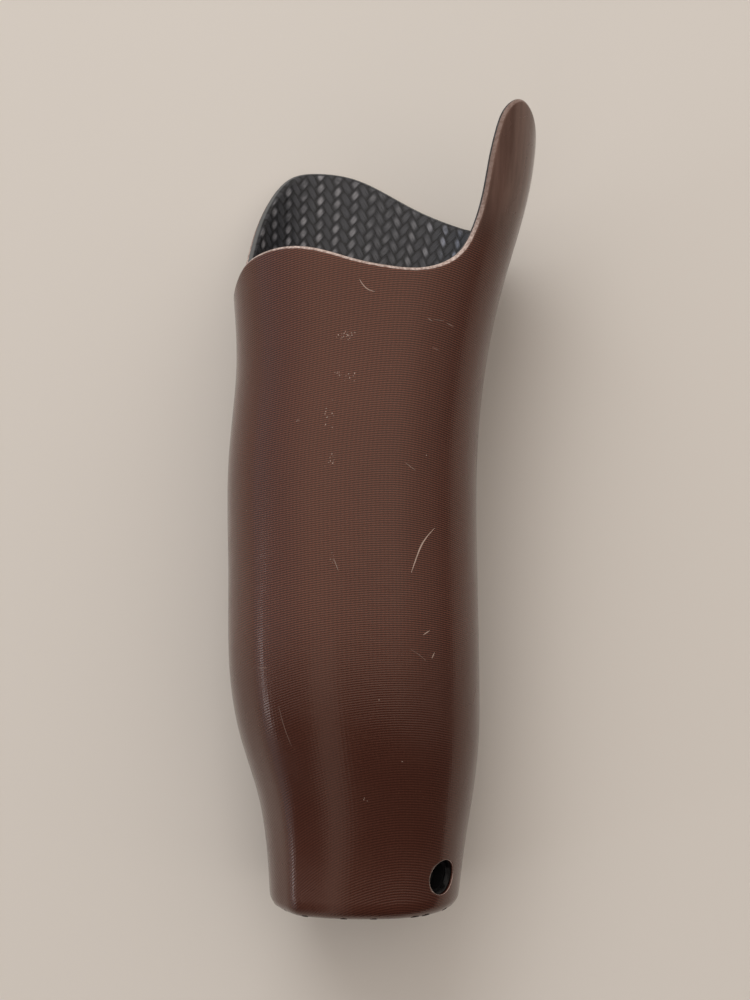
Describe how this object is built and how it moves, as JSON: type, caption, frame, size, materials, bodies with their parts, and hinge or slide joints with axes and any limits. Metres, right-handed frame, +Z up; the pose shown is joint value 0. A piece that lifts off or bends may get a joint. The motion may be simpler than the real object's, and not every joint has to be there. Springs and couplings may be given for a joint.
{
  "type": "prosthetic forearm socket",
  "caption": "Laminated below-elbow socket of a hand prosthesis: brown knit over braided carbon, winged brim, and a quick-release friction wrist in its end.",
  "frame": {"origin": "centre of the wrist mouth, on the wrist face and the wrist axis", "axes": "+Y along the forearm towards the elbow, +Z up as the socket lies on its underside, +X towards the tall wing of the brim"},
  "size_m": [0.1186, 0.3013, 0.0867],
  "materials": {
    "brown_laminate": "gloss resin over brown knitted nylon",
    "carbon_braid": "gloss resin over braided carbon",
    "rigid_foam": "cut polyurethane foam",
    "anodised_aluminium": "clear anodised",
    "steel": "turned stainless steel",
    "spring_steel": "oiled spring steel",
    "bronze": "sintered bronze",
    "nylon": "natural nylon",
    "acetal": "natural acetal",
    "black_plastic": "satin black nylon",
    "rubber": "matt nitrile rubber"
  },
  "bodies": {
    "socket": {"outer_shell": "brown_laminate", "carbon_frame": "carbon_braid", "end_cup": "carbon_braid", "wrist_block": "rigid_foam", "wrist_housing": "anodised_aluminium", "face_ring": "anodised_aluminium", "face_screws": "steel", "dust_seal": "rubber", "friction_washer": "nylon", "disc_spring": "spring_steel", "rotor_bush": "bronze", "latch_springs": "spring_steel", "button_bush": "black_plastic", "pilot_plate": "acetal", "pilot_screws": "steel", "cap_gasket": "rubber", "housing_cap": "anodised_aluminium", "cap_screws": "steel"},
    "rotor": {"wrist_rotor": "steel"},
    "release": {"latch_plate": "steel", "button_stem": "steel", "release_button": "black_plastic"}
  },
  "joints": [
    {"name": "wrist_rotation", "type": "hinge", "parent": "socket", "child": "rotor", "pos_m": [0, 0, 0], "axis": [0, 1, 0], "continuous": true},
    {"name": "release_slide", "type": "slide", "parent": "socket", "child": "release", "axis": [-0.749, 0, -0.6626], "range_m": [0, 0.003], "stiffness_N_per_m": 800, "springref_m": -0.004, "deforming": ["latch_springs"]}
  ]
}
